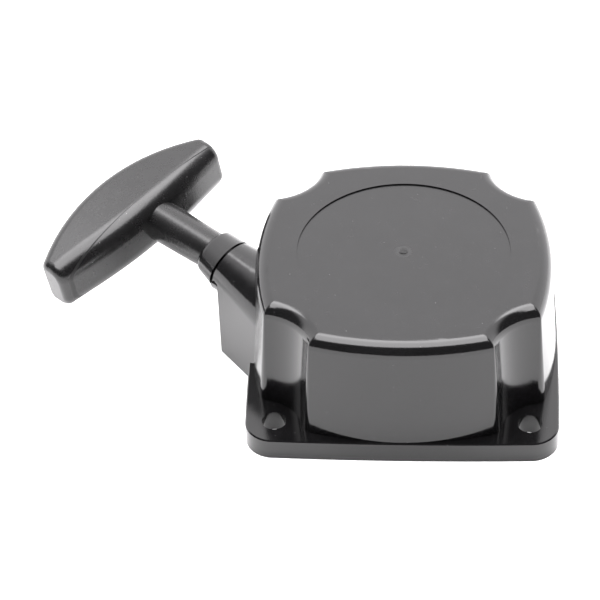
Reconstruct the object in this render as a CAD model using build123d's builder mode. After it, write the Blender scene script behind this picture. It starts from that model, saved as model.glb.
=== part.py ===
from build123d import *
import os
from math import atan2, cos, degrees, radians, sin, sqrt, tan

# Recoil starter for a small two-stroke engine, built as an assembly.
# Millimetres. The origin is the crank axis in the mounting face; +Z points away from the engine.

os.makedirs("parts", exist_ok=True)

# ---------------------------------------------------------------- driving dimensions
# mounting flange
HOLE_SPACING = 62.0
HOLE_R = 3.0
FLANGE_T = 5.66
FLANGE_HALF = 38.64
FLANGE_SIDE_R = 900.0
FLANGE_CORNER_R = 7.0

# cover: a bowed square with a scoop around each screw
COVER_HALF = 38.2
COVER_SIDE_R = 78.0
SCOOP_R = 11.4
SCOOP_AT = 35.1
COVER_CORNER_R = 2.8
COVER_TOP = 34.3
COVER_TOP_FILLET = 3.6
DRAFT = 4.2
WALL = 2.2
ROOF_IN = 31.6
DISC_R = 26.17
DISC_DEPTH = 0.35
RING_R = 17.4
RING_Z = 30.9

# rope line: it leaves the reel as a tangent, level with the middle of the groove
PULL_ANGLE = 139.52
ROPE_OFFSET = 22.4
ROPE_Z = 23.6
ROPE_R = 1.5

# snout: a round-topped spout around the rope, growing towards the cover
NOSE_S = 37.2
NOSE_R = 6.93
NOSE_SIDE = 0.57
NOSE_GROWTH = 0.171
NOSE_DRIFT = 0.029
NOSE_TILT = 15.0
CROWN = 6.35
SNOUT_WALL = 1.8
NOSE_WALL = 2.2
END_WALL_OUT = 35.58
END_WALL_IN = 34.0
LIP_Z = -1.5
LIP_FILLET = 1.3

# rope guide
RIM_R = 6.9
RIM_GAP = 0.7
MOUTH_R = 5.95
MOUTH_S = 44.5
MOUTH_FILLET = 1.4
NECK_R = 4.2
THROAT_R = 2.1
SADDLE_R = 7.2
PLUG_IN = 31.2
PLUG_OUT = 32.4

# post, sleeve and screw
POST_R = 5.0
SHOULDER_R = 5.55
SLEEVE_R = 6.0
RUN = 0.05
INSERT_R = 3.4
SCREW_R = 2.4
SLEEVE_END = 11.0
SLEEVE_TOP = 23.8
WASHER_R = 9.0
WASHER_T = 1.2
INSERT_LENGTH = 10.5
SCREW_HEAD_AF = 8.0

# reel
REEL_R = 29.0
REEL_FLANGE_T = 1.5
GROOVE_R = 15.6
GROOVE_W = 7.5
SPRING_ROOM_R = 14.3
SPRING_FLOOR = 24.2
RIM_TOP = 30.6
HUB_R = 8.0
HUB_END = 14.9

# recoil spring strip
STRIP_T = 0.45
STRIP_H = 6.0
STRIP_PITCH = 0.85
STRIP_IN = 6.2
STRIP_TURNS = 9

# pawls, the guide plate that throws them out, and its spring washer
PAWL_PIVOT = 12.0
PAWL_Z = 15.2
PAWL_T = 2.0
PAWL_HUB_R = 3.3
PAWL_REACH = 9.2
PIVOT_R = 1.9
PAWL_SWING = 28.0
PIN_R = 1.0
PIN_REACH = 5.2
PIN_ANGLE = -16.7
PLATE_TURN = 30.0
PLATE_R = 17.0
PLATE_Z = 13.4
PLATE_T = 1.4

# grip
# the bar is rolled about the rope, yawed about its own thickness and droops towards both ends
GRIP_ROLL = 10.5
GRIP_TIP = 80.6
GRIP_HALF = 28.0
GRIP_YAW = -2.5
GRIP_DROOP = 1.2
GRIP_SHIFT = 4.0
GRIP_BOW_R = 55.0
GRIP_WAIST = 62.1
GRIP_SWEEP = 3.4
GRIP_THICK = 7.8
GRIP_THICK_END = 7.0
GRIP_OUTER_R = 3.1
GRIP_INNER_R = 5.0
GRIP_END_R = 2.2
SHANK_R = 5.05
SHANK_ROOT_R = 5.4
SHANK_S = 44.75
GRIP_BORE_R = 1.7
POCKET_R = 4.4
POCKET_S = 71.5
KNOT_R = 3.6

# ---------------------------------------------------------------- rope frame
along = Vector(cos(radians(PULL_ANGLE)), sin(radians(PULL_ANGLE)), 0)
aside = Vector(-along.Y, along.X, 0)
up = Vector(0, 0, 1)
tangent_point = aside * ROPE_OFFSET + up * ROPE_Z


def rope_point(s, n=0.0, z=0.0):
    """Point s along the rope line, n outwards from the crank axis and z above the line."""
    return tangent_point + along * s + aside * n + up * z


def rope_plane(s, n=0.0, z=0.0, tilt=0.0):
    """Plane across the rope line at s; its x runs outwards and its normal tips up by tilt."""
    normal = along * cos(radians(tilt)) + up * sin(radians(tilt))
    return Plane(origin=rope_point(s, n, z), x_dir=aside, z_dir=normal)


# upright plane that holds the rope line: its x runs along the rope, from far behind the snout
side_plane = Plane(origin=rope_point(0, 30), x_dir=along, z_dir=-aside)


def write(part, label):
    """Name a finished piece and write its file."""
    part.label = label
    export_step(part, f"parts/{label}.step")


# ---------------------------------------------------------------- shared outlines
def bowed_square(half, side_r):
    """Square with four slightly bulging sides, as four overlapping circles in the open sketch."""
    reach = side_r - half
    with Locations((0, reach)):
        Circle(side_r)
    for centre in ((0, -reach), (reach, 0), (-reach, 0)):
        with Locations(centre):
            Circle(side_r, mode=Mode.INTERSECT)


def cover_outline(half, scoop_r):
    """Outline of the cover's wall: bowed sides and a scoop around each screw."""
    bowed_square(half, COVER_SIDE_R)
    with GridLocations(2 * SCOOP_AT, 2 * SCOOP_AT, 2, 2):
        Circle(scoop_r, mode=Mode.SUBTRACT)
    fillet(vertices(), radius=COVER_CORNER_R)


def snout_section(s, shrink, foot):
    """Round-topped section of the snout at s, made smaller by shrink, down to height foot."""
    radius = NOSE_R + NOSE_GROWTH * (36.0 - s)
    centre = NOSE_SIDE + NOSE_DRIFT * (36.0 - s)
    middle = CROWN - radius
    left = centre - radius + shrink
    right = centre + radius - shrink
    with BuildSketch(rope_plane(s)) as section:
        with BuildLine():
            ThreePointArc((left, middle), (centre, CROWN - shrink), (right, middle))
            Polyline((right, middle), (right, foot), (left, foot), (left, middle))
        make_face()
    return section.sketch


nose_face = rope_plane(NOSE_S, tilt=NOSE_TILT)
nose_back = nose_face.offset(-NOSE_WALL)

# ---------------------------------------------------------------- snout solids
with BuildPart() as snout_block:
    for s in (12.0, 41.0):
        add(snout_section(s, 0, -ROPE_Z))
    loft(ruled=True)
    split(bisect_by=nose_face, keep=Keep.BOTTOM)
    # the nose's lower lip stands out over the end wall
    with BuildSketch(side_plane):
        with BuildLine():
            Polyline((END_WALL_OUT, -ROPE_Z - 1), (50, -ROPE_Z - 1), (50, LIP_Z),
                     (END_WALL_OUT, LIP_Z), close=True)
        make_face()
        fillet(vertices().sort_by_distance(rope_point(END_WALL_OUT, 30, LIP_Z))[0], radius=LIP_FILLET)
    extrude(amount=60, mode=Mode.SUBTRACT)

with BuildPart() as snout_channel:
    for s in (8.0, 41.0):
        add(snout_section(s, SNOUT_WALL, -ROPE_Z - 1))
    loft(ruled=True)
    split(bisect_by=nose_back, keep=Keep.BOTTOM)
    split(bisect_by=rope_plane(END_WALL_IN), keep=Keep.BOTTOM)

# slot that the guide's neck and tail slide up into
with BuildPart() as guide_slot:
    with BuildSketch(rope_plane(PLUG_OUT)):
        Circle(NECK_R + 0.15)
    extrude(amount=12)
    with BuildSketch(side_plane.offset(30 - NECK_R - 0.15)):
        with BuildLine():
            Polyline((PLUG_OUT, -ROPE_Z - 1), (41, -ROPE_Z - 1), (41, 0), (PLUG_OUT, 0), close=True)
        make_face()
    extrude(amount=2 * NECK_R + 0.3)

# ---------------------------------------------------------------- housing
with BuildPart() as housing:
    with BuildSketch():
        bowed_square(FLANGE_HALF, FLANGE_SIDE_R)
        fillet(vertices(), radius=FLANGE_CORNER_R)
    extrude(amount=FLANGE_T)
    chamfer(edges().group_by(Axis.Z)[-1], length=0.3)
    add(snout_block.part)
    with BuildSketch():
        cover_outline(COVER_HALF + FLANGE_T * tan(radians(DRAFT)), SCOOP_R - 0.4)
    extrude(amount=COVER_TOP, taper=DRAFT)
    fillet(faces().sort_by(Axis.Z)[-1].edges(), radius=COVER_TOP_FILLET)
    # shallow round recess in the top, with the mark of the mould's gate in its middle
    with BuildSketch(Plane.XY.offset(COVER_TOP - DISC_DEPTH)):
        Circle(DISC_R)
        Circle(1.1, mode=Mode.SUBTRACT)
    extrude(amount=DISC_DEPTH + 1, mode=Mode.SUBTRACT)
    with BuildSketch(Plane.XY.offset(COVER_TOP - DISC_DEPTH + 0.15)):
        Circle(2)
    extrude(amount=1, mode=Mode.SUBTRACT)
    # room for the mechanism, and the way out for the rope
    with BuildSketch():
        cover_outline(COVER_HALF - WALL, SCOOP_R + WALL)
    extrude(amount=ROOF_IN, taper=DRAFT, mode=Mode.SUBTRACT)
    add(snout_channel.part, mode=Mode.SUBTRACT)
    add(guide_slot.part, mode=Mode.SUBTRACT)
    with GridLocations(HOLE_SPACING, HOLE_SPACING, 2, 2):
        Hole(HOLE_R)
    # ring that centres the spring's cover plate under the roof
    with BuildSketch(Plane.XY.offset(RING_Z)):
        Circle(RING_R + 1.2)
        Circle(RING_R, mode=Mode.SUBTRACT)
    extrude(amount=ROOF_IN - RING_Z + 0.4)
    # post for the reel, with a shoulder for the sleeve and a slot for the spring's inner end
    with BuildSketch(Plane.XY.offset(SLEEVE_END + 0.2)):
        Circle(POST_R)
    extrude(amount=SLEEVE_TOP - SLEEVE_END)
    with BuildSketch(Plane.XY.offset(SLEEVE_TOP)):
        Circle(SHOULDER_R)
    extrude(amount=ROOF_IN - SLEEVE_TOP + 0.4)
    with BuildSketch(Plane.XY.offset(SPRING_FLOOR)):
        with Locations((POST_R, 0)):
            Rectangle(4.4, 1.0)
    extrude(amount=6.8, mode=Mode.SUBTRACT)
    with BuildSketch(Plane.XY.offset(SLEEVE_END + 0.2)):
        Circle(INSERT_R)
    extrude(amount=INSERT_LENGTH + 0.5, mode=Mode.SUBTRACT)

# ---------------------------------------------------------------- rope guide
collar_rim = nose_face.offset(RIM_GAP)
collar_mouth = rope_plane(MOUTH_S, -0.25, 0.2, NOSE_TILT)

with BuildPart() as saddle:
    with BuildSketch(rope_plane(END_WALL_OUT + 0.06, NOSE_SIDE, CROWN - NOSE_R)):
        Circle(SADDLE_R)
    extrude(amount=6)
    split(bisect_by=nose_face, keep=Keep.BOTTOM)
    split(bisect_by=Plane(origin=rope_point(0, 0, LIP_Z - 0.06), z_dir=up), keep=Keep.BOTTOM)

with BuildPart() as rope_guide:
    with BuildSketch(collar_rim):
        with Locations((NOSE_SIDE, CROWN - NOSE_R)):
            Circle(RIM_R)
    with BuildSketch(collar_mouth):
        Circle(MOUTH_R)
    loft(ruled=True)
    fillet(edges().sort_by(Axis(rope_point(0), along))[-1], radius=MOUTH_FILLET)
    with BuildSketch(rope_plane(PLUG_OUT - 0.3)):
        Circle(NECK_R)
    extrude(amount=MOUTH_S - PLUG_OUT - 3)
    add(saddle.part)
    # tail that fills the slot, and the plug that holds it from inside
    with BuildSketch(side_plane.offset(30 - NECK_R)):
        with BuildLine():
            Polyline((PLUG_OUT - 0.3, 1 - ROPE_Z), (END_WALL_OUT + 0.3, 1 - ROPE_Z), (END_WALL_OUT + 0.3, -2),
                     (PLUG_OUT - 0.3, -2), close=True)
        make_face()
    extrude(amount=2 * NECK_R)
    add(snout_section(PLUG_IN, SNOUT_WALL + 0.15, 1 - ROPE_Z))
    add(snout_section(PLUG_OUT, SNOUT_WALL + 0.15, 1 - ROPE_Z))
    loft(ruled=True)
    with BuildSketch(rope_plane(25)):
        Circle(THROAT_R)
    extrude(amount=30, mode=Mode.SUBTRACT)

# ---------------------------------------------------------------- post fittings
with BuildPart() as post_insert:
    with BuildSketch(Plane.XY.offset(SLEEVE_END + 0.2)):
        Circle(INSERT_R)
        Circle(SCREW_R + RUN, mode=Mode.SUBTRACT)
    extrude(amount=INSERT_LENGTH)

with BuildPart() as post_sleeve:
    with BuildSketch(Plane.XY.offset(SLEEVE_END)):
        Circle(SLEEVE_R)
        Circle(POST_R, mode=Mode.SUBTRACT)
    extrude(amount=SLEEVE_TOP - SLEEVE_END)

HEAD_Z = SLEEVE_END - WASHER_T
with BuildPart() as screw_washer:
    with BuildSketch(Plane.XY.offset(HEAD_Z)):
        Circle(WASHER_R)
        Circle(SCREW_R + 0.1, mode=Mode.SUBTRACT)
    extrude(amount=WASHER_T)
    chamfer(edges().filter_by(GeomType.CIRCLE).group_by(SortBy.RADIUS)[-1], length=0.25)

with BuildPart() as centre_screw:
    with BuildSketch(Plane.XY.offset(HEAD_Z)):
        Circle(5.4)
    extrude(amount=-1.0)
    with BuildSketch(Plane.XY.offset(HEAD_Z - 1.0)):
        RegularPolygon(SCREW_HEAD_AF / 2, 6, major_radius=False)
    extrude(amount=-3.2)
    chamfer(faces().sort_by(Axis.Z)[0].edges(), length=0.4)
    with BuildSketch(Plane.XY.offset(HEAD_Z)):
        Circle(SCREW_R)
    extrude(amount=INSERT_LENGTH)
    chamfer(faces().sort_by(Axis.Z)[-1].edges(), length=0.4)

# ---------------------------------------------------------------- recoil spring
def spiral_edge(side):
    """One edge of the strip, from the post outwards: half turns centred either side of the axis."""
    for turn in range(2 * STRIP_TURNS):
        centre = STRIP_PITCH / 4 if turn % 2 else -STRIP_PITCH / 4
        radius = STRIP_IN + turn * STRIP_PITCH / 2 + side * STRIP_T / 2
        CenterArc((centre, 0), radius, 180 * (turn % 2), -180)


spring_z = SPRING_FLOOR + 0.3
spring_start = STRIP_IN - STRIP_PITCH / 4
spring_end = STRIP_IN + STRIP_PITCH / 4 + (2 * STRIP_TURNS - 1) * STRIP_PITCH / 2

with BuildPart() as recoil_spring:
    with BuildSketch(Plane.XY.offset(spring_z)):
        with BuildLine():
            spiral_edge(1)
            spiral_edge(-1)
            Line((spring_start - STRIP_T / 2, 0), (spring_start + STRIP_T / 2, 0))
            Line((spring_end - STRIP_T / 2, 0), (spring_end + STRIP_T / 2, 0))
        make_face()
        # inner end turned in to the post's slot, outer end turned out to the reel's notch
        with Locations(((spring_start + 3.2) / 2, 0)):
            Rectangle(spring_start - 3.2 + STRIP_T, STRIP_T)
        with Locations(((spring_end + SPRING_ROOM_R + 0.5) / 2, 0)):
            Rectangle(SPRING_ROOM_R + 0.5 - spring_end + STRIP_T, STRIP_T)
    extrude(amount=STRIP_H)

with BuildPart() as spring_plate:
    with BuildSketch(Plane.XY.offset(RING_Z + 0.1)):
        Circle(RING_R - 0.2)
        Circle(SHOULDER_R + 0.6, mode=Mode.SUBTRACT)
    extrude(amount=0.5)

# ---------------------------------------------------------------- reel
groove_low = ROPE_Z - GROOVE_W / 2
groove_high = ROPE_Z + GROOVE_W / 2
reel_low = groove_low - REEL_FLANGE_T
reel_high = groove_high + REEL_FLANGE_T
bore_r = SLEEVE_R + RUN
KNOT_ANGLE = 205.0
KNOT_AT = 11.1
knot_way = Vector(cos(radians(KNOT_ANGLE)), sin(radians(KNOT_ANGLE)), 0)
knot_hole = Plane(origin=knot_way * KNOT_AT + up * (groove_low + ROPE_R + 0.4), z_dir=knot_way)

with BuildPart() as reel:
    with BuildSketch(Plane.XZ):
        with BuildLine():
            Polyline((bore_r, HUB_END), (HUB_R, HUB_END), (HUB_R, reel_low), (REEL_R, reel_low),
                     (REEL_R, groove_low - 0.5), (GROOVE_R, groove_low), (GROOVE_R, groove_high),
                     (REEL_R, groove_high + 0.5), (REEL_R, reel_high), (GROOVE_R, reel_high),
                     (GROOVE_R, RIM_TOP), (SPRING_ROOM_R, RIM_TOP), (SPRING_ROOM_R, SPRING_FLOOR),
                     (bore_r, SPRING_FLOOR), close=True)
        make_face()
    revolve(axis=Axis.Z)
    # notch in the rim for the spring's outer end
    with BuildSketch(Plane.XY.offset(SPRING_FLOOR)):
        with Locations((SPRING_ROOM_R + 0.15, 0)):
            Rectangle(1.7, 1.2)
    extrude(amount=RIM_TOP, mode=Mode.SUBTRACT)
    # pocket for the rope's knot and the hole from it to the groove
    with BuildSketch(Plane.XY.offset(reel_low)):
        with PolarLocations(KNOT_AT, 1, KNOT_ANGLE):
            Circle(3.3)
    extrude(amount=4.8, mode=Mode.SUBTRACT)
    with BuildSketch(knot_hole):
        Circle(ROPE_R + 0.2)
    extrude(amount=6, mode=Mode.SUBTRACT)
    # holes that lighten the lower flange
    with BuildSketch(Plane.XY.offset(reel_low)):
        with PolarLocations(25.2, 12):
            Circle(1.6)
    extrude(amount=REEL_FLANGE_T, mode=Mode.SUBTRACT)
    # pivots for the pawls and pegs for their springs
    with BuildSketch(Plane.XY.offset(HUB_END + 0.1)):
        with PolarLocations(PAWL_PIVOT, 2, start_angle=90):
            Circle(PIVOT_R)
    extrude(amount=reel_low - HUB_END)
    with BuildSketch(Plane.XY.offset(PAWL_Z + PAWL_T + 0.15)):
        with PolarLocations(0, 2):
            with Locations((-4.2, PAWL_PIVOT + 1.4)):
                Circle(0.8)
    extrude(amount=reel_low - PAWL_Z - PAWL_T)

# ---------------------------------------------------------------- rope on the reel
LAST_TURN = 300.0
inner_layers_out = ROPE_OFFSET - ROPE_R - 0.2

with BuildPart() as rope_winding:
    with BuildSketch(Plane.XZ):
        with Locations(((GROOVE_R + 0.05 + inner_layers_out) / 2, ROPE_Z)):
            RectangleRounded(inner_layers_out - GROOVE_R - 0.05, GROOVE_W - 0.3, ROPE_R)
    revolve(axis=Axis.Z)

with BuildPart() as reel_knot:
    with BuildSketch(Plane.XY.offset(reel_low + 0.4)):
        with PolarLocations(KNOT_AT, 1, KNOT_ANGLE):
            Circle(2.9)
    extrude(amount=4.0)
    fillet(edges(), radius=1.6)
    with BuildSketch(knot_hole):
        Circle(ROPE_R)
    extrude(amount=GROOVE_R - KNOT_AT)

# the rope's outermost turn, then straight out through the guide to the grip's knot
start_angle = degrees(atan2(aside.Y, aside.X))
with BuildPart() as rope_lead:
    with BuildLine() as lead_path:
        CenterArc((0, 0, ROPE_Z), ROPE_OFFSET, start_angle + LAST_TURN, -LAST_TURN)
        Line(rope_point(0), rope_point(POCKET_S + 0.5))
    with BuildSketch(rope_plane(POCKET_S + 0.5)):
        Circle(ROPE_R)
    sweep(path=lead_path.wire())

# ---------------------------------------------------------------- pawls
def pin_place(turned):
    """Pawl pin's centre in the reel's frame, when the pawl has swung out by turned degrees."""
    angle = radians(PIN_ANGLE + turned)
    return Vector(PIN_REACH * cos(angle), PAWL_PIVOT + PIN_REACH * sin(angle), 0)


def pawl(turn):
    """Pawl at its inner stop; turn says which of the two pivots it sits on."""
    with BuildPart() as lever:
        with BuildSketch(Plane.XY.offset(PAWL_Z)):
            with Locations((0, PAWL_PIVOT)):
                Circle(PAWL_HUB_R)
            with Locations((PAWL_REACH - 0.8, PAWL_PIVOT - 0.4)):
                Rectangle(1.6, 2.6)
            make_hull()
            with Locations((0, PAWL_PIVOT)):
                Circle(PIVOT_R + RUN, mode=Mode.SUBTRACT)
        extrude(amount=PAWL_T)
        with BuildSketch(Plane.XY.offset(PAWL_Z)):
            with Locations(pin_place(0)):
                Circle(PIN_R)
        extrude(amount=PLATE_Z - 0.3 - PAWL_Z)
    return lever.part.rotate(Axis.Z, turn)


def pawl_spring(turn):
    """Torsion spring around a pivot: one leg on the reel's peg, one hooked over the pawl."""
    coil_r = 2.5
    wire = 0.6
    base = PAWL_Z + PAWL_T + 0.25
    with BuildPart() as spring:
        with BuildSketch(Plane.XY.offset(base)):
            with Locations((0, PAWL_PIVOT)):
                Circle(coil_r + wire / 2)
            with Locations((0.3, PAWL_PIVOT + coil_r)):
                Rectangle(11.4, wire)
            with Locations((0, PAWL_PIVOT)):
                Circle(coil_r - wire / 2, mode=Mode.SUBTRACT)
        extrude(amount=wire)
        with BuildSketch(Plane.XY.offset(PAWL_Z + 1.2)):
            with Locations((6.0 - wire / 2, PAWL_PIVOT + coil_r)):
                Rectangle(wire, wire)
        extrude(amount=base - PAWL_Z - 1)
    return spring.part.rotate(Axis.Z, turn)


with BuildPart() as ratchet_guide:
    with BuildSketch(Plane.XY.offset(PLATE_Z)):
        Circle(PLATE_R)
        Circle(bore_r, mode=Mode.SUBTRACT)
        # slot swept by each pawl's pin as the plate turns and the pawl swings out
        turned = [pin_place(PAWL_SWING * k / 2).rotate(Axis.Z, -PLATE_TURN * k / 2) for k in range(3)]
        with PolarLocations(0, 2):
            SlotArc(ThreePointArc(*turned, mode=Mode.PRIVATE), 2 * (PIN_R + 0.3), mode=Mode.SUBTRACT)
        # bites that leave the pawls' springs in sight
        with PolarLocations(PLATE_R + 3, 2, start_angle=0):
            Circle(8, mode=Mode.SUBTRACT)
    extrude(amount=PLATE_T)

# dished washer that presses the plate against the reel's hub and drags on it
with BuildPart() as friction_spring:
    with BuildSketch(Plane.XZ):
        with BuildLine():
            Polyline((8.4, SLEEVE_END + 0.02), (8.4, SLEEVE_END + 0.52), (6.3, PLATE_Z - 0.05),
                     (6.3, PLATE_Z - 0.55), close=True)
        make_face()
    revolve(axis=Axis.Z)

# ---------------------------------------------------------------- grip
grip_across = aside.rotate(Axis((0, 0, 0), along), -GRIP_ROLL)
grip_up = along.cross(grip_across)
grip_out = along.rotate(Axis((0, 0, 0), grip_up), GRIP_YAW)
grip_across = grip_across.rotate(Axis((0, 0, 0), grip_up), GRIP_YAW)


def bar_section(n):
    """Section of the grip's bar at n along it, with small outer and large inner roundings."""
    bow = (n / GRIP_HALF)**2
    outer = GRIP_TIP - GRIP_BOW_R + sqrt(GRIP_BOW_R**2 - n**2)
    inner = GRIP_WAIST + GRIP_SWEEP * bow
    thick = GRIP_THICK - (GRIP_THICK - GRIP_THICK_END) * bow
    middle = (outer + inner) / 2 - GRIP_WAIST
    origin = (rope_point(GRIP_WAIST) + grip_out * middle + grip_across * (n + GRIP_SHIFT)
              - grip_up * GRIP_DROOP * bow)
    with BuildSketch(Plane(origin=origin, x_dir=grip_out, z_dir=grip_across)) as section:
        Rectangle(outer - inner, 2 * thick)
        fillet(vertices().sort_by(Axis.X)[-2:], radius=GRIP_OUTER_R)
        inner_r = min(GRIP_INNER_R, 0.9 * (outer - inner - GRIP_OUTER_R))
        fillet(vertices().sort_by(Axis.X)[:2], radius=inner_r)
    return section.sketch


with BuildPart() as handle_grip:
    for k in range(-3, 4):
        add(bar_section(GRIP_HALF * k / 3))
    loft()
    bar_ends = faces().sort_by(Axis((0, 0, 0), tuple(grip_across)))
    fillet(bar_ends[0].edges() + bar_ends[-1].edges(), radius=GRIP_END_R)
    # round shank towards the rope guide, and its soft join with the bar
    with BuildSketch(rope_plane(SHANK_S, tilt=NOSE_TILT)):
        Circle(SHANK_R)
    with BuildSketch(rope_plane(GRIP_WAIST + 5)):
        Circle(SHANK_ROOT_R)
    loft(ruled=True)
    # pocket for the knot, open on the outer side, and the rope's hole
    with BuildSketch(rope_plane(POCKET_S)):
        Circle(POCKET_R)
    extrude(amount=20, mode=Mode.SUBTRACT)
    with BuildSketch(rope_plane(40)):
        Circle(GRIP_BORE_R)
    extrude(amount=40, mode=Mode.SUBTRACT)

with BuildPart() as handle_knot:
    with BuildSketch(rope_plane(POCKET_S + 0.1)):
        Circle(KNOT_R)
        Circle(ROPE_R + RUN, mode=Mode.SUBTRACT)
    extrude(amount=5.5)
    fillet(edges().filter_by(GeomType.CIRCLE).group_by(SortBy.RADIUS)[-1], radius=1.8)

write(housing.part, "housing")
write(rope_guide.part, "rope_guide")
write(post_insert.part, "post_insert")
write(post_sleeve.part, "post_sleeve")
write(screw_washer.part, "screw_washer")
write(centre_screw.part, "centre_screw")
write(recoil_spring.part, "recoil_spring")
write(spring_plate.part, "spring_plate")
write(reel.part, "reel")
write(rope_winding.part, "rope_winding")
write(reel_knot.part, "reel_knot")
write(rope_lead.part, "rope_lead")
write(pawl(0), "pawl_a")
write(pawl(180), "pawl_b")
write(pawl_spring(0), "pawl_spring_a")
write(pawl_spring(180), "pawl_spring_b")
write(ratchet_guide.part, "ratchet_guide")
write(friction_spring.part, "friction_spring")
write(handle_grip.part, "handle_grip")
write(handle_knot.part, "handle_knot")
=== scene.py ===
"""Finishes, rope work and studio for the recoil starter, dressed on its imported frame."""

import logging
import math
import random
from dataclasses import dataclass, field
from enum import Enum
from typing import Any, Iterable, Sequence

import bpy
from mathutils import Matrix, Quaternion, Vector


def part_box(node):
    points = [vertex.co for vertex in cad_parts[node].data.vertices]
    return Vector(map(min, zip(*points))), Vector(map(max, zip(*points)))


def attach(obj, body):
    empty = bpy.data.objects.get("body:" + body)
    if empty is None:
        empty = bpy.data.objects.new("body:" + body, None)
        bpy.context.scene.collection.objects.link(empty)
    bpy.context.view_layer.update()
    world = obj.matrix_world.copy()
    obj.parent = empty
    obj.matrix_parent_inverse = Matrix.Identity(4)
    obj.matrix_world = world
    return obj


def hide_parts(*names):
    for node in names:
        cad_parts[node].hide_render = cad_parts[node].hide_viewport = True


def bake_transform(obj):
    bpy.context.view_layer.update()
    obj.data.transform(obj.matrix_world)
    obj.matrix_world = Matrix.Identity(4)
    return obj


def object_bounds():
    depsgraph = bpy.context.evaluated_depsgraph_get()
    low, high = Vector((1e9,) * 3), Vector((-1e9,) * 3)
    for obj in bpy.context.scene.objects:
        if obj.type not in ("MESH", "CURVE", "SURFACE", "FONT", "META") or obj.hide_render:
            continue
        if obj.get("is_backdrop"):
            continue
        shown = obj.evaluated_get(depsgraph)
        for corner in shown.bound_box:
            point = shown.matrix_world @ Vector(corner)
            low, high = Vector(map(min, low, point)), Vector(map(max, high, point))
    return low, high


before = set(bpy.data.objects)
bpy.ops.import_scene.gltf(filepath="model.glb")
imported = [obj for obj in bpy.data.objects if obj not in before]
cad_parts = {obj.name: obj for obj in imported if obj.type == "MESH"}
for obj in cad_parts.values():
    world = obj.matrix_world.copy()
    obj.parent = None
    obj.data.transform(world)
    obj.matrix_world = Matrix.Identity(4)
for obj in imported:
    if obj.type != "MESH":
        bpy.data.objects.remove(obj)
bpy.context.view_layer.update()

logging.basicConfig(level=logging.INFO, format="%(message)s")
log = logging.getLogger("recoil_starter")

MM = 0.001
SPLINE_STEPS = 10
Colour = tuple[float, float, float]


# ---------------------------------------------------------------- shader arithmetic
class Signal:
    """A node socket that takes part in arithmetic and adds its Math nodes as it goes."""

    def __init__(self, bench: "Bench", socket: bpy.types.NodeSocket) -> None:
        """Wraps a socket.

        Args:
            bench: The node bench that the socket belongs to.
            socket: The output socket.
        """
        self.bench = bench
        self.socket = socket

    def math(self, operation: str, *others: Any) -> "Signal":
        """Applies one Math operation to this signal.

        Args:
            operation: The Math node's operation.
            others: The operation's other values, signals or numbers.

        Returns:
            The resulting signal.
        """
        sockets = dict(enumerate((self, *others)))
        return self.bench.add("ShaderNodeMath", {"operation": operation}, sockets).out()

    def __add__(self, other: Any) -> "Signal":
        """Sum."""
        return self.math("ADD", other)

    __radd__ = __add__

    def __mul__(self, other: Any) -> "Signal":
        """Product."""
        return self.math("MULTIPLY", other)

    __rmul__ = __mul__

    def __sub__(self, other: Any) -> "Signal":
        """Difference."""
        return self.math("SUBTRACT", other)

    def __rsub__(self, other: Any) -> "Signal":
        """Reflected difference."""
        return self.bench.add("ShaderNodeMath", {"operation": "SUBTRACT"}, {0: other, 1: self}).out()

    def __truediv__(self, other: Any) -> "Signal":
        """Quotient."""
        return self.math("DIVIDE", other)

    def __gt__(self, other: Any) -> "Signal":
        """One where this signal is above other, else nought."""
        return self.math("GREATER_THAN", other)

    def __abs__(self) -> "Signal":
        """Absolute value."""
        return self.math("ABSOLUTE")

    def step(self, low: float, high: float) -> "Signal":
        """Smooth step from nought at low to one at high.

        Args:
            low: Where the step starts.
            high: Where it ends; it may be below low.

        Returns:
            The stepped signal.
        """
        first, last = (0.0, 1.0) if high > low else (1.0, 0.0)
        ends = {1: min(low, high), 2: max(low, high), 3: first, 4: last}
        settings = {"interpolation_type": "SMOOTHSTEP"}
        return self.bench.add("ShaderNodeMapRange", settings, {0: self, **ends}).out()


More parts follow.
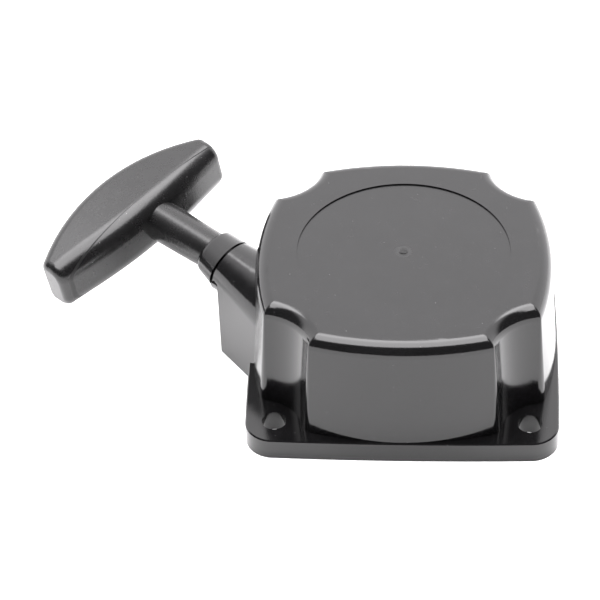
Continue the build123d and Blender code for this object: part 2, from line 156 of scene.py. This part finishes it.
class Bench:
    """Node tree of one material or world, with the few ways in which nodes are added."""

    def __init__(self, tree: bpy.types.NodeTree) -> None:
        """Clears the tree and keeps it."""
        self.tree = tree
        tree.nodes.clear()

    def add(self, kind: str, settings: dict[str, Any] | None = None,
            sockets: dict[str | int, Any] | None = None) -> "Fitting":
        """Adds one node.

        Args:
            kind: The node's type.
            settings: Its settings, set first.
            sockets: Values, or links from signals and fittings, by socket name or number.

        Returns:
            The node, wrapped.
        """
        node = self.tree.nodes.new(kind)
        for name, value in (settings or {}).items():
            setattr(node, name, value)
        for name, value in (sockets or {}).items():
            value = value.out() if isinstance(value, Fitting) else value
            if isinstance(value, Signal):
                self.tree.links.new(value.socket, node.inputs[name])
            else:
                node.inputs[name].default_value = value
        return Fitting(self, node)

    def along(self, vector: Signal, axis: Sequence[float]) -> Signal:
        """Dot product of a vector with a fixed axis."""
        sockets = {0: vector, 1: tuple(axis)}
        return self.add("ShaderNodeVectorMath", {"operation": "DOT_PRODUCT"}, sockets).out("Value")

    def stretched(self, vector: Signal, scale: Sequence[float]) -> Signal:
        """Vector scaled by a different amount along each axis."""
        sockets = {0: vector, 1: tuple(scale)}
        return self.add("ShaderNodeVectorMath", {"operation": "MULTIPLY"}, sockets).out("Vector")

    def noise(self, vector: Signal, size: float, detail: float = 2.0) -> Signal:
        """Noise about 0.5 whose lumps are of a given size.

        Args:
            vector: Where to read it.
            size: The lumps' size in metres.
            detail: Octaves.

        Returns:
            The noise.
        """
        sockets = {"Vector": vector, "Scale": 1.0 / size, "Detail": detail}
        return self.add("ShaderNodeTexNoise", {"noise_dimensions": "3D"}, sockets).out()

    def cells(self, vector: Signal, size: float) -> "Fitting":
        """Cell pattern whose cells are of a given size in metres."""
        sockets = {"Vector": vector, "Scale": 1.0 / size}
        return self.add("ShaderNodeTexVoronoi", {"voronoi_dimensions": "3D"}, sockets)

    def blend(self, factor: Any, first: Any, second: Any) -> Signal:
        """Mixes two colours.

        Args:
            factor: Nought gives the first, one the second.
            first: Colour or signal.
            second: Colour or signal.

        Returns:
            The mixed colour.
        """
        first = (*first, 1.0) if isinstance(first, tuple) else first
        second = (*second, 1.0) if isinstance(second, tuple) else second
        settings = {"data_type": "RGBA", "clamp_factor": True}
        return self.add("ShaderNodeMix", settings, {0: factor, 6: first, 7: second}).out(2)

    def relief(self, height: Signal, depth: float) -> Signal:
        """Normal of a surface with that relief, depth metres between its nought and its one."""
        sockets = {"Strength": 1.0, "Distance": depth, "Height": height}
        return self.add("ShaderNodeBump", None, sockets).out("Normal")


class Fitting:
    """A node whose outputs are read as signals."""

    def __init__(self, bench: Bench, node: bpy.types.Node) -> None:
        """Keeps the node and its bench."""
        self.bench = bench
        self.node = node

    def out(self, name: str | int = 0) -> Signal:
        """One of the node's outputs, by name or number."""
        return Signal(self.bench, self.node.outputs[name])


# ---------------------------------------------------------------- rope line
@dataclass(frozen=True)
class RopeLine:
    """The straight line that the rope leaves the reel on, and the frame around it, in metres."""

    angle: float = math.radians(139.52)
    offset: float = 22.4 * MM
    height: float = 23.6 * MM

    @property
    def along(self) -> Vector:
        """Direction of the pull."""
        return Vector((math.cos(self.angle), math.sin(self.angle), 0.0))

    @property
    def aside(self) -> Vector:
        """Level direction across the pull, from the crank's axis to the line."""
        return Vector((-math.sin(self.angle), math.cos(self.angle), 0.0))

    def point(self, s: float) -> Vector:
        """Point on the line, s metres from where the rope leaves the reel."""
        return self.aside * self.offset + self.along * s + Vector((0.0, 0.0, self.height))


# ---------------------------------------------------------------- finishes
class Place(Enum):
    """Where a moulded piece's own marks lie."""

    PLAIN = "plain"
    COVER = "cover"
    GRIP = "grip"


def new_material(name: str) -> tuple[bpy.types.Material, Bench]:
    """Makes an empty material.

    Args:
        name: Its name.

    Returns:
        The material and its bench.
    """
    material = bpy.data.materials.new(name)
    material.use_nodes = True
    return material, Bench(material.node_tree)


@dataclass(frozen=True)
class MouldedPlastic:
    """Injection-moulded black nylon: fine grain where satin, flow marks where glossy, pale specks."""

    name: str
    colour: Colour
    roughness: float
    top_roughness: float
    grain: float = 0.35 * MM
    grain_depth: float = 0.006 * MM
    top_grain_depth: float = 0.012 * MM
    specks: float = 0.5
    place: Place = Place.PLAIN
    satin_above: float = -1.0
    blotch: float = 9 * MM
    flow_size: float = 2.4 * MM
    scuff_size: float = 0.5 * MM
    speck_cell: float = 1.6 * MM
    fine_speck_cell: float = 0.7 * MM
    scuffed: Colour = (0.22, 0.22, 0.22)
    pale: Colour = (0.34, 0.34, 0.34)
    torn: Colour = (0.001, 0.001, 0.001)
    seam: Colour = (0.002, 0.002, 0.002)
    gate_radius: float = 1.05 * MM
    seam_reach: float = 66.9 * MM
    seam_bow: float = 0.9

    def make(self, line: RopeLine) -> bpy.types.Material:
        """Builds the material.

        Args:
            line: The rope's line, which the grip's parting line stands across.

        Returns:
            The material.
        """
        material, bench = new_material(self.name)
        where = bench.add("ShaderNodeTexCoord")
        spot = where.out("Object")
        height = bench.along(spot, (0, 0, 1))
        facing = bench.along(where.out("Normal"), (0, 0, 1))
        satin = facing.step(0.965, 0.995) * (height > self.satin_above)
        fine = bench.noise(spot, self.grain, 3.0)
        broad = bench.noise(spot, self.blotch, 3.0)
        flow = bench.noise(bench.stretched(spot, (1.0, 1.0, 0.35)), self.flow_size, 4.0)
        scuffs = bench.noise(bench.stretched(spot, (0.10, 0.55, 0.6)), self.scuff_size, 2.0)
        scuffs = scuffs.step(0.74, 0.80)
        scuffs = scuffs * bench.noise(spot, 12 * MM, 1.0).step(0.50, 0.62)
        dust = self._specks(bench, spot) * self.specks
        base = bench.blend(broad.step(0.35, 0.7), self.colour, tuple(c * 1.35 for c in self.colour))
        base = bench.blend(scuffs * (0.10 * self.specks), base, self.scuffed)
        base = bench.blend(dust, base, self.pale)
        rough = self.roughness + (self.top_roughness - self.roughness) * satin
        rough = rough + (flow - 0.5) * 0.10 + (fine - 0.5) * 0.05 + scuffs * 0.06
        relief = fine * ((self.grain_depth + (self.top_grain_depth - self.grain_depth) * satin) / MM)
        relief = relief + flow * 0.004
        if self.place is Place.COVER:
            mark, rim = self._gate(bench, spot, height)
            base = bench.blend(mark, base, self.torn)
            rough = rough + mark * 0.3 + rim * 0.12
            relief = relief - mark * 0.12 - rim * fine * 0.10
        if self.place is Place.GRIP:
            seam, ridge = self._parting(bench, spot, line)
            base = bench.blend(seam, base, self.seam)
            rough = rough + seam * 0.25
            relief = relief + ridge * 0.05
        normal = bench.relief(relief, MM)
        sockets = {"Base Color": base, "Roughness": rough, "Normal": normal, "IOR": 1.5}
        shader = bench.add("ShaderNodeBsdfPrincipled", None, sockets)
        bench.add("ShaderNodeOutputMaterial", None, {"Surface": shader})
        return material

    def _specks(self, bench: Bench, spot: Signal) -> Signal:
        """Sparse pale specks about a tenth of a millimetre across."""
        cells = bench.cells(spot, self.speck_cell)
        chosen = bench.along(cells.out("Color"), (1, 0, 0)) > 0.86
        fine_cells = bench.cells(spot, self.fine_speck_cell)
        fine_chosen = bench.along(fine_cells.out("Color"), (0, 1, 0)) > 0.95
        near = cells.out("Distance").step(0.085, 0.04) * chosen
        return near + fine_cells.out("Distance").step(0.11, 0.05) * fine_chosen * 0.6

    def _gate(self, bench: Bench, spot: Signal, height: Signal) -> tuple[Signal, Signal]:
        """The torn-off gate at the middle of the cover's top.

        Args:
            bench: The material's bench.
            spot: The object's coordinates.
            height: Height above the mounting face.

        Returns:
            The dark stub and the dull rim around it.
        """
        across = bench.along(spot, (1, 0, 0))
        far = bench.along(spot, (0, 1, 0))
        ragged = bench.noise(spot, 0.6 * MM, 3.0) * 0.9 * MM
        reach = (across * across + far * far).math("SQRT") + ragged - 0.45 * MM
        top = height > self.satin_above
        stub = reach.step(self.gate_radius, 0.80 * MM) * top
        rim = reach.step(2.6 * MM, 1.2 * MM) * top - stub
        return stub, rim

    def _parting(self, bench: Bench, spot: Signal, line: RopeLine) -> tuple[Signal, Signal]:
        """The mould's parting line across the grip.

        Args:
            bench: The material's bench.
            spot: The object's coordinates.
            line: The rope's line.

        Returns:
            The dark line and the step in the surface across it.
        """
        reach = bench.along(spot, line.along)
        across = bench.along(spot, line.aside) - line.offset
        bowed = reach + across * across * self.seam_bow - self.seam_reach
        line_mask = abs(bowed).step(0.26 * MM, 0.10 * MM)
        return line_mask * 0.9, bowed.step(-0.12 * MM, 0.12 * MM)


@dataclass(frozen=True)
class Steel:
    """Bare or plated steel and brass: brushed or rolled, with a little oil and wear."""

    name: str
    colour: Colour
    dark: Colour
    roughness: float
    stretch: Colour = (1.0, 1.0, 0.08)
    line_size: float = 0.12 * MM
    stains: float = 0.25
    stain_size: float = 3.2 * MM
    pit_cell: float = 0.5 * MM
    pit_depth: float = 0.004

    def make(self, line: RopeLine) -> bpy.types.Material:
        """Builds the material. The rope's line is not used."""
        material, bench = new_material(self.name)
        spot = bench.add("ShaderNodeTexCoord").out("Object")
        lines = bench.noise(bench.stretched(spot, self.stretch), self.line_size, 3.0)
        patches = bench.noise(spot, self.stain_size, 4.0)
        pits = bench.cells(spot, self.pit_cell).out("Distance").step(0.13, 0.05)
        base = bench.blend(lines.step(0.3, 0.7), self.dark, self.colour)
        base = bench.blend(patches.step(0.55, 0.75) * self.stains, base, self.dark)
        rough = self.roughness + (lines - 0.5) * 0.18 + (patches - 0.5) * 0.16
        normal = bench.relief(lines * self.pit_depth + pits * -self.pit_depth, MM)
        sockets = {"Base Color": base, "Roughness": rough, "Metallic": 1.0, "Normal": normal}
        shader = bench.add("ShaderNodeBsdfPrincipled", None, sockets)
        bench.add("ShaderNodeOutputMaterial", None, {"Surface": shader})
        return material


@dataclass(frozen=True)
class BraidedNylon:
    """Off-white nylon braid, its strands modelled and its filaments in the shader."""

    name: str
    colour: Colour = (0.74, 0.72, 0.66)
    crevice_shade_and_grime: Colour = (0.46, 0.44, 0.39)
    filament: float = 0.10 * MM
    wear_size: float = 4.0 * MM
    filament_depth: float = 0.03 * MM

    def make(self, line: RopeLine) -> bpy.types.Material:
        """Builds the material. The rope's line is not used."""
        material, bench = new_material(self.name)
        spot = bench.add("ShaderNodeTexCoord").out("Object")
        filaments = bench.noise(spot, self.filament, 3.0)
        worn = bench.noise(spot, self.wear_size, 3.0)
        # Darker where the filament noise is low, in the crevices of its relief: painted shade between
        # the filaments. Worn patches blend towards the same darker colour as grime.
        base = bench.blend(filaments.step(0.35, 0.65), self.crevice_shade_and_grime, self.colour)
        base = bench.blend(worn.step(0.5, 0.8) * 0.4, base, self.crevice_shade_and_grime)
        rough = 0.78 + (filaments - 0.5) * 0.2
        normal = bench.relief(filaments, self.filament_depth)
        sockets = {"Base Color": base, "Roughness": rough, "Normal": normal, "Sheen Weight": 0.3}
        shader = bench.add("ShaderNodeBsdfPrincipled", None, sockets)
        bench.add("ShaderNodeOutputMaterial", None, {"Surface": shader})
        return material


@dataclass
class Finishes:
    """Every finish of the starter, made once."""

    line: RopeLine
    made: dict[str, bpy.types.Material] = field(default_factory=dict)

    def __post_init__(self) -> None:
        """Makes the finishes, keyed by the name of the slot that each belongs to."""
        black = (0.0036, 0.0035, 0.0038)
        recipes = {
            "housing_plastic": MouldedPlastic("Black nylon cover", black, 0.13, 0.25, specks=0.3,
                                              top_grain_depth=0.02 * MM, place=Place.COVER,
                                              satin_above=28 * MM),
            "guide_plastic": MouldedPlastic("Black nylon rope guide", black, 0.17, 0.20, specks=0.6),
            "grip_plastic": MouldedPlastic("Black nylon grip", (0.0045, 0.0044, 0.0046), 0.26, 0.28,
                                           grain=0.45 * MM, grain_depth=0.016 * MM,
                                           top_grain_depth=0.02 * MM, place=Place.GRIP),
            "torn_plastic": MouldedPlastic("Torn black nylon", (0.002, 0.002, 0.002), 0.55, 0.55,
                                           specks=0.1),
            "reel_plastic": MouldedPlastic("Dark nylon reel", (0.032, 0.031, 0.03), 0.42, 0.42,
                                           specks=0.2),
            "rope": BraidedNylon("Nylon braid"),
            "spring_steel": Steel("Oiled spring steel", (0.42, 0.43, 0.46), (0.16, 0.16, 0.18), 0.28),
            "pressed_steel": Steel("Pressed steel", (0.56, 0.56, 0.57), (0.30, 0.30, 0.31), 0.34,
                                   stretch=(0.10, 1.0, 1.0)),
            "pawl_steel": Steel("Hardened pawl steel", (0.34, 0.34, 0.37), (0.13, 0.13, 0.15), 0.36,
                                stretch=(1.0, 0.10, 1.0)),
            "zinc_steel": Steel("Zinc-plated steel", (0.67, 0.68, 0.69), (0.42, 0.43, 0.43), 0.24,
                                stretch=(1.0, 1.0, 0.3)),
            "brass": Steel("Turned brass", (0.80, 0.60, 0.27), (0.48, 0.32, 0.13), 0.26),
        }
        for slot_name, recipe in recipes.items():
            self.made[slot_name] = recipe.make(self.line)

    def dress(self, node: str, slot_name: str) -> None:
        """Gives a CAD node one of the finishes.

        Args:
            node: The node's name.
            slot_name: The finish's slot.
        """
        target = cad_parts[node]
        if not target.material_slots:
            target.data.materials.append(self.made[slot_name])
        for material_slot in target.material_slots:
            material_slot.material = self.made[slot_name]
        log.info("%s dressed in %s", node, slot_name)


# ---------------------------------------------------------------- rope work
def settled_line(points: Iterable[Vector]) -> list[Vector]:
    """Points along a smooth spline through a rope's route.

    Args:
        points: The route's control points.

    Returns:
        Points along the spline.
    """
    route = list(points)
    curve = bpy.data.curves.new("route", "CURVE")
    curve.dimensions = "3D"
    curve.resolution_u = SPLINE_STEPS
    spline = curve.splines.new("NURBS")
    spline.points.add(len(route) - 1)
    for knot, place in zip(spline.points, route):
        knot.co = (*place, 1.0)
    spline.order_u = 3
    spline.use_endpoint_u = True
    holder = bpy.data.objects.new("route", curve)
    mesh = bpy.data.meshes.new_from_object(holder)
    line = [vertex.co.copy() for vertex in mesh.vertices]
    bpy.data.objects.remove(holder)
    bpy.data.curves.remove(curve)
    bpy.data.meshes.remove(mesh)
    return line


def even_steps(line: Sequence[Vector], step: float) -> list[Vector]:
    """Points at even distances along a line.

    Args:
        line: The line's points.
        step: The wanted distance, in metres.

    Returns:
        The evenly spaced points.
    """
    lengths = [0.0]
    for before, after in zip(line, line[1:]):
        lengths.append(lengths[-1] + (after - before).length)
    count = max(2, round(lengths[-1] / step))
    places, piece = [], 0
    for number in range(count + 1):
        wanted = lengths[-1] * number / count
        while piece < len(line) - 2 and lengths[piece + 1] < wanted:
            piece += 1
        share = (wanted - lengths[piece]) / max(lengths[piece + 1] - lengths[piece], 1e-9)
        places.append(line[piece].lerp(line[piece + 1], min(max(share, 0.0), 1.0)))
    return places


@dataclass(frozen=True)
class Braid:
    """A round braided cord: sixteen strands that cross over and under, as relief on a tube."""

    radius: float = 1.47 * MM
    relief: float = 0.10
    plait: float = 3.0 * MM
    around: int = 24
    step: float = 0.35 * MM

    def mesh(self, name: str, line: Sequence[Vector]) -> bpy.types.Object:
        """Builds the cord along a line, with rounded, melted ends.

        Args:
            name: The piece's name.
            line: The cord's centre line.

        Returns:
            The new object.
        """
        centres = even_steps(line, self.step)
        tangent = (centres[1] - centres[0]).normalized()
        normal = tangent.orthogonal().normalized()
        vertices: list[Vector] = []
        last = len(centres) - 1
        for number, centre in enumerate(centres):
            ahead = (centres[min(number + 1, last)] - centres[max(number - 1, 0)]).normalized()
            turn: Quaternion = tangent.rotation_difference(ahead)
            normal = (turn @ normal).normalized()
            tangent = ahead
            side = tangent.cross(normal)
            from_end = min(number, last - number) * self.step
            cap = math.sqrt(max(0.04, 1 - (1 - min(1.0, from_end / self.radius)) ** 2))
            for spoke in range(self.around):
                angle = 2 * math.pi * spoke / self.around
                lay = 2 * math.pi * number * self.step / self.plait
                weave = math.sin(4 * angle + lay) * math.sin(4 * angle - lay)
                reach = self.radius * cap * (1 - self.relief * (0.5 - 0.5 * weave))
                vertices.append(centre + (normal * math.cos(angle) + side * math.sin(angle)) * reach)
        faces = []
        for ring in range(last):
            for spoke in range(self.around):
                after = (spoke + 1) % self.around
                low, high = ring * self.around, (ring + 1) * self.around
                faces.append((low + spoke, low + after, high + after, high + spoke))
        faces.append(tuple(range(self.around))[::-1])
        faces.append(tuple(last * self.around + spoke for spoke in range(self.around)))
        return new_piece(name, vertices, faces)


def new_piece(name: str, vertices: Sequence[Vector],
              faces: Sequence[tuple[int, ...]]) -> bpy.types.Object:
    """Makes a smooth mesh object in the scene.

    Args:
        name: The piece's name.
        vertices: Its points.
        faces: Its faces.

    Returns:
        The object.
    """
    mesh = bpy.data.meshes.new(name)
    mesh.from_pydata([tuple(v) for v in vertices], [], list(faces))
    mesh.update()
    for polygon in mesh.polygons:
        polygon.use_smooth = True
    piece = bpy.data.objects.new(name, mesh)
    bpy.context.scene.collection.objects.link(piece)
    return piece


@dataclass
class RopeWork:
    """The rope: its lead to the grip, the layers under it on the reel, and a knot at each end."""

    line: RopeLine
    finishes: Finishes
    braid: Braid = field(default_factory=Braid)
    layer_radii: tuple[float, float] = (17.2 * MM, 19.0 * MM)
    lead_turn: float = math.radians(298)
    lead_steps: int = 20
    winding_steps: int = 24
    winding_lift: float = 2.0 * MM
    straight_at: tuple[float, ...] = (0.0, 6.0, 20.0, 40.0, 60.0, 71.0)
    guide_mouth: float = 38 * MM
    grip_inside: float = 70 * MM
    knot_steps: int = 30

    def build(self) -> None:
        """Builds and dresses all of the rope."""
        self.lead()
        self.winding()
        self.grip_knot()
        self.reel_knot()

    def _circle_point(self, radius: float, angle: float, lift: float) -> Vector:
        """Point beside the reel's axis, level with the groove's middle plus lift."""
        return Vector((radius * math.cos(angle), radius * math.sin(angle), self.line.height + lift))

    def _finish(self, piece: bpy.types.Object, *nodes: str) -> None:
        """Gives a rope piece its finish and has it stand for its CAD nodes."""
        piece.data.materials.append(self.finishes.made["rope"])
        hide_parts(*nodes)
        log.info("%s built", piece.name)

    def lead(self) -> None:
        """The outermost turn and the straight run through the guide."""
        start = math.atan2(self.line.aside.y, self.line.aside.x)
        route = []
        for number in range(self.lead_steps):
            angle = start + self.lead_turn * (1 - number / self.lead_steps)
            route.append(self._circle_point(self.line.offset * 1.004, angle, 0.0))
        route += [self.line.point(reach * MM) for reach in self.straight_at]
        piece = self.braid.mesh("Rope.Lead", settled_line(route))
        self._finish(piece, "rope_lead")
        self.line.point(self.guide_mouth)
        self.line.point(self.grip_inside)
        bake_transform(piece)

    def winding(self) -> None:
        """Two layers of two turns, side by side in the groove."""
        route = []
        steps = 2 * self.winding_steps
        for layer, radius in enumerate(self.layer_radii):
            way_across = -self.winding_lift if layer else self.winding_lift
            for number in range(steps + 1 if layer else steps):
                share = number / steps
                lift = (share * 2 - 1) * way_across
                angle = 2 * math.pi * 2 * share
                route.append(self._circle_point(radius, angle, lift))
        coil = Braid(radius=1.45 * MM, around=16, step=0.5 * MM)
        piece = coil.mesh("Rope.Winding", settled_line(route))
        self._finish(piece, "rope_winding")
        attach(piece, "reel")

    def _knot(self, name: str, centre: Vector, axis: Vector, across: float, thick: float,
              cord: float) -> bpy.types.Object:
        """Builds a pulled-tight overhand knot.

        Args:
            name: The piece's name.
            centre: The knot's middle.
            axis: The rope's direction through it.
            across: The knot's radius to its outside.
            thick: Half its length along the rope.
            cord: The cord's radius where it is squeezed in the knot.

        Returns:
            The new object.
        """
        side = axis.orthogonal().normalized()
        other = axis.cross(side)
        route = []
        for number in range(self.knot_steps):
            angle = 2 * math.pi * number / self.knot_steps
            reach = (across - cord) * (0.62 + 0.38 * math.cos(3 * angle))
            lift = (thick - cord) * math.sin(3 * angle)
            flat = side * math.cos(2 * angle) + other * math.sin(2 * angle)
            route.append(centre + flat * reach + axis * lift)
        tied = Braid(radius=cord, around=16, step=0.3 * MM, relief=0.12)
        return tied.mesh(name, settled_line(route + route[:1]))

    def grip_knot(self) -> None:
        """The knot in the grip's pocket."""
        low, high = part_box("handle_knot")
        piece = self._knot("Rope.GripKnot", (low + high) / 2, self.line.along,
                           across=3.6 * MM, thick=2.7 * MM, cord=1.3 * MM)
        self._finish(piece, "handle_knot")
        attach(piece, "handle")

    def reel_knot(self) -> None:
        """The knot in the reel's pocket."""
        low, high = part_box("reel_knot")
        middle = (low + high) / 2
        outward = Vector((middle.x, middle.y, 0.0)).normalized()
        centre = Vector((middle.x, middle.y, middle.z)) - outward * 0.6 * MM
        piece = self._knot("Rope.ReelKnot", centre, Vector((0, 0, 1)),
                           across=2.8 * MM, thick=2.0 * MM, cord=1.1 * MM)
        self._finish(piece, "reel_knot")
        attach(piece, "reel")


# ---------------------------------------------------------------- cover, reel and grip
@dataclass
class Mouldings:
    """The moulded pieces: cover, rope guide, grip and reel."""

    finishes: Finishes
    slots: dict[str, str] = field(default_factory=lambda: {
        "housing": "housing_plastic", "rope_guide": "guide_plastic", "handle_grip": "grip_plastic",
        "reel": "reel_plastic"})

    def build(self) -> None:
        """Dresses every moulding."""
        for node, slot_name in self.slots.items():
            self.finishes.dress(node, slot_name)


@dataclass
class GateStub:
    """The ragged stub that the torn-off gate leaves in the middle of the cover's top."""

    finishes: Finishes
    radius: float = 1.35 * MM
    level: float = 33.97 * MM
    top: float = 34.29 * MM
    rings: int = 9
    around: int = 28
    tear: float = 0.26 * MM
    pip: float = 0.16 * MM
    sink: float = 0.07 * MM
    rim_drop: float = 0.05 * MM

    def build(self) -> None:
        """Builds the stub as a shallow crater with a torn pip in it."""
        chance = random.Random(7)
        vertices = [Vector((0.0, 0.0, self.level + 0.10 * MM))]
        for ring in range(1, self.rings + 1):
            share = ring / self.rings
            for spoke in range(self.around):
                angle = 2 * math.pi * (spoke + 0.35 * chance.random()) / self.around
                reach = self.radius * share * (1 + 0.16 * (chance.random() - 0.5) * share)
                tear = self.tear * chance.random() * math.sin(math.pi * share) ** 0.6
                pip = self.pip * math.exp(-((share - 0.35) / 0.2) ** 2)
                rise = (tear + pip - self.sink) * (1 - share ** 6) - self.rim_drop * share
                lift = min(self.level + rise, self.top)
                vertices.append(Vector((reach * math.cos(angle), reach * math.sin(angle), lift)))
        faces: list[tuple[int, ...]] = []
        for spoke in range(self.around):
            faces.append((0, 1 + spoke, 1 + (spoke + 1) % self.around))
        for ring in range(self.rings - 1):
            low, high = 1 + ring * self.around, 1 + (ring + 1) * self.around
            for spoke in range(self.around):
                after = (spoke + 1) % self.around
                faces.append((low + spoke, high + spoke, high + after, low + after))
        piece = new_piece("Cover.GateStub", vertices, faces)
        piece.data.materials.append(self.finishes.made["torn_plastic"])
        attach(piece, "housing")
        log.info("%s built", piece.name)


@dataclass
class Metalwork:
    """The post's insert, sleeve, screw and washers, the springs, the guide plate and the pawls."""

    finishes: Finishes
    slots: dict[str, str] = field(default_factory=lambda: {
        "post_insert": "brass", "post_sleeve": "zinc_steel", "centre_screw": "zinc_steel",
        "screw_washer": "zinc_steel", "friction_spring": "spring_steel", "spring_plate": "pressed_steel",
        "recoil_spring": "spring_steel", "ratchet_guide": "pressed_steel", "pawl_a": "pawl_steel",
        "pawl_b": "pawl_steel", "pawl_spring_a": "spring_steel", "pawl_spring_b": "spring_steel"})

    def build(self) -> None:
        """Dresses every metal piece."""
        for node, slot_name in self.slots.items():
            self.finishes.dress(node, slot_name)


# ---------------------------------------------------------------- studio
@dataclass
class Studio:
    """A pale floor in a tent that is bright behind, with a softbox above and open at the front."""

    bearing: float = math.radians(4.465)
    elevation: float = math.radians(40.901)
    roll: float = math.radians(-2.383)
    distance: float = 607.21 * MM
    slide: tuple[float, float] = (26.394 * MM, -13.649 * MM)
    lens: float = 143.43
    tent: float = 2.6
    softbox: float = 11.0
    gap: float = 0.16
    softbox_back: tuple[float, float] = (math.radians(57), math.radians(64))
    softbox_front: tuple[float, float] = (math.radians(117), math.radians(112))
    softbox_side: tuple[float, float] = (0.50, 0.38)
    tent_edge: tuple[float, float] = (0.05, 0.35)
    floor_reach: float = 6.0
    floor_drop: float = 0.05 * MM
    floor_glow: float = 0.55

    def build(self) -> None:
        """Builds the floor, the light and the camera."""
        self.floor()
        self.light()
        self.camera()

    def floor(self) -> None:
        """A wide floor with a faint paper texture, just under the starter."""
        low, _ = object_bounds()
        level = low.z - self.floor_drop
        corners = [Vector((x * self.floor_reach, y * self.floor_reach, level))
                   for x, y in ((-1, -1), (1, -1), (1, 1), (-1, 1))]
        ground = new_piece("Studio.Floor", corners, [(0, 1, 2, 3)])
        material, bench = new_material("Pale paper floor")
        spot = bench.add("ShaderNodeTexCoord").out("Object")
        grain = bench.noise(spot, 1.5 * MM, 3.0)
        base = bench.blend(grain, (0.84, 0.84, 0.84), (0.88, 0.88, 0.88))
        shader = bench.add("ShaderNodeBsdfPrincipled", None, {
            "Base Color": base, "Roughness": 0.9, "Emission Color": (1.0, 1.0, 1.0, 1.0),
            "Emission Strength": self.floor_glow})
        bench.add("ShaderNodeOutputMaterial", None, {"Surface": shader})
        ground.data.materials.append(material)
        ground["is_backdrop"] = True

    def light(self) -> None:
        """The tent as the world: even light from behind, a softbox above, dark in front and aside."""
        world = bpy.data.worlds.new("Light tent")
        world.use_nodes = True
        bpy.context.scene.world = world
        bench = Bench(world.node_tree)
        way = bench.add("ShaderNodeTexCoord").out("Generated")
        right = (math.cos(self.bearing), math.sin(self.bearing), 0.0)
        behind = (-math.sin(self.bearing), math.cos(self.bearing), 0.0)
        sideways = abs(bench.along(way, right))
        depth = bench.along(way, behind)
        lift = bench.along(way, (0, 0, 1))
        rise = lift.math("ARCTAN2", depth)
        box = rise.step(*self.softbox_back) * rise.step(*self.softbox_front)
        box = box * sideways.step(*self.softbox_side)
        tent = depth.step(*self.tent_edge)
        strength = self.gap + tent * (self.tent - self.gap) + box * (self.softbox - self.tent)
        sockets = {"Color": (1.0, 0.985, 1.0, 1.0), "Strength": strength}
        back = bench.add("ShaderNodeBackground", None, sockets)
        bench.add("ShaderNodeOutputWorld", None, {"Surface": back})
        bpy.context.scene.view_settings.view_transform = "Standard"

    def camera(self) -> None:
        """A long lens from the front, above."""
        back = Vector((math.sin(self.bearing) * math.cos(self.elevation),
                       -math.cos(self.bearing) * math.cos(self.elevation), math.sin(self.elevation)))
        level = Vector((math.cos(self.bearing), math.sin(self.bearing), 0.0))
        upright = back.cross(level)
        across = level * math.cos(self.roll) + upright * math.sin(self.roll)
        upward = upright * math.cos(self.roll) - level * math.sin(self.roll)
        place = back * self.distance - across * self.slide[0] - upward * self.slide[1]
        lens = bpy.data.cameras.new("Camera")
        lens.lens = self.lens
        lens.sensor_width = 36.0
        lens.clip_start = 0.01
        lens.clip_end = 50.0
        camera = bpy.data.objects.new("Camera", lens)
        turn = Matrix((across, upward, back)).transposed().to_4x4()
        camera.matrix_world = Matrix.Translation(place) @ turn
        bpy.context.scene.collection.objects.link(camera)
        bpy.context.scene.camera = camera


def main() -> None:
    """Dresses the starter, builds its rope and sets up the studio."""
    line = RopeLine()
    finishes = Finishes(line)
    for assembly in (Mouldings(finishes), GateStub(finishes), Metalwork(finishes),
                     RopeWork(line, finishes), Studio()):
        assembly.build()
        log.info("%s done", type(assembly).__name__)


if __name__ == "__main__":
    main()
